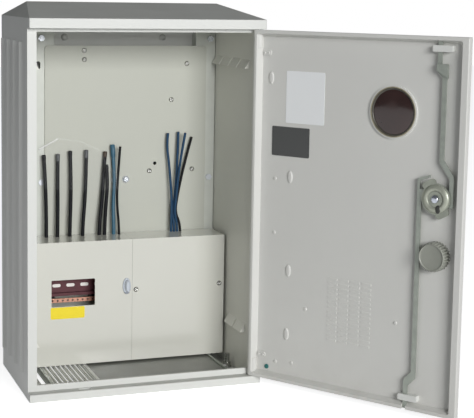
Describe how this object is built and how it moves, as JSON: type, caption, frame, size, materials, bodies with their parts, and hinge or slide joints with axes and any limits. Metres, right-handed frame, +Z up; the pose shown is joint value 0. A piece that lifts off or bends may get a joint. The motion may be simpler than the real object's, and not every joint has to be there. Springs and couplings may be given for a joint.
{
  "type": "electricity meter cabinet",
  "caption": "Standing electricity meter cabinet in grey glass-fibre polyester with fluted sides, a hipped roof and an open door with a rod lock.",
  "frame": {"origin": "middle of the underside of the plinth, between the four base bolt holes", "axes": "+Z up, +Y from the door side to the back wall, +X to the hinge side, right as seen from the front"},
  "size_m": [0.6126, 0.5529, 0.6455],
  "materials": {
    "grp_grey": "satin moulded glass-fibre polyester",
    "grp_door": "satin moulded glass-fibre polyester",
    "liner": "satin",
    "zinc_fixings": "bright zinc",
    "galvanised_steel": "dull zinc",
    "board": "matte",
    "rail_zinc": "light zinc",
    "plug": "satin",
    "floor_slats": "satin",
    "floor_plate": "satin",
    "cover": "soft gloss",
    "pillar_steel": "bright zinc",
    "knob": "soft gloss",
    "bronze_rail": "yellow passivated zinc gone brown",
    "black_plastic": "fine grain",
    "copper": "bare copper",
    "terminal_grey": "satin",
    "black_cable": "soft",
    "blue_cable": "soft",
    "clear_film": "clear film",
    "brass": "plain",
    "pin_steel": "bright",
    "smoked_glass": "dark polished",
    "paper": "matte",
    "black_plate": "polished",
    "guide": "satin",
    "cam_steel": "passivated zinc",
    "lock_chrome": "polished",
    "cap_plastic": "satin"
  },
  "bodies": {
    "cabinet": {"cabinet_body": "grp_grey", "roof_cap": "grp_grey", "roof_screws": "zinc_fixings", "side_liner_left": "liner", "side_liner_right": "liner", "mounting_rail_left": "rail_zinc", "mounting_rail_right": "rail_zinc", "rail_bolts": "zinc_fixings", "mounting_board": "board", "board_screws": "zinc_fixings", "floor_frame": "galvanised_steel", "slatted_floor_panel": "floor_slats", "plain_floor_panel": "floor_plate", "cover_left": "cover", "cover_right": "cover", "cover_pillars": "pillar_steel", "cover_screws": "zinc_fixings", "breaker_rail": "bronze_rail", "rail_feet": "black_plastic", "copper_bar": "copper", "bar_insulators": "black_plastic", "terminal_block_left": "terminal_grey", "terminal_block_right": "terminal_grey", "cable_film": "clear_film", "earth_stud": "zinc_fixings", "lower_hinge_pin": "pin_steel", "upper_hinge_pin": "pin_steel", "hinge_washer": "pillar_steel", "cable_1": "black_cable", "cable_2": "black_cable", "cable_3": "black_cable", "cable_4": "black_cable", "cable_5": "black_cable", "cable_6": "black_cable", "cable_7": "blue_cable", "cable_8": "black_cable", "cable_9": "blue_cable", "cable_10": "blue_cable", "cable_11": "blue_cable", "cable_12": "black_cable"},
    "door": {"door_panel": "grp_door", "sight_glass": "smoked_glass", "door_label": "paper", "data_plate": "black_plate", "drain_plug": "plug", "hinge_plate_lower": "grp_door", "hinge_plate_upper": "grp_door", "upper_rod_guide": "guide", "lower_rod_guide": "guide", "escutcheon": "black_plastic", "lock_barrel": "lock_chrome", "ribbed_cap": "cap_plastic"},
    "handle": {"lever_handle": "black_plastic", "square_spindle": "pin_steel", "cam_plate": "cam_steel", "cam_bolt": "pin_steel"},
    "upper_rod": {"upper_rod": "galvanised_steel"},
    "lower_rod": {"lower_rod": "galvanised_steel"},
    "key_plug": {"key_plug": "brass"},
    "sealing_knob": {"sealing_knob": "knob"}
  },
  "joints": [
    {"name": "door_hinge", "type": "hinge", "parent": "cabinet", "child": "door", "pos_m": [0.189, -0.111, 0.3], "axis": [0, 0, 1], "range_deg": [-124.2, 6]},
    {"name": "handle_turn", "type": "hinge", "parent": "door", "child": "handle", "pos_m": [0.38505, -0.38703, 0.356], "axis": [-0.8271, -0.5621, 0], "range_deg": [0, 90]},
    {"name": "upper_rod_slide", "type": "slide", "parent": "door", "child": "upper_rod", "axis": [0, 0, 1], "range_m": [0, 0.01205]},
    {"name": "lower_rod_slide", "type": "slide", "parent": "door", "child": "lower_rod", "axis": [0, 0, -1], "range_m": [0, 0.01205]},
    {"name": "key_turn", "type": "hinge", "parent": "door", "child": "key_plug", "pos_m": [0.38505, -0.38703, 0.2655], "axis": [-0.8271, -0.5621, 0], "range_deg": [0, 90]},
    {"name": "seal_turn", "type": "hinge", "parent": "cabinet", "child": "sealing_knob", "pos_m": [0, 0.015, 0.152], "axis": [0, 1, 0], "range_deg": [0, 90]}
  ],
  "couplings": [
    {"joint": "upper_rod_slide", "follows": "handle_turn", "m_per_rad": 0.007653},
    {"joint": "lower_rod_slide", "follows": "handle_turn", "m_per_rad": 0.007653}
  ]
}
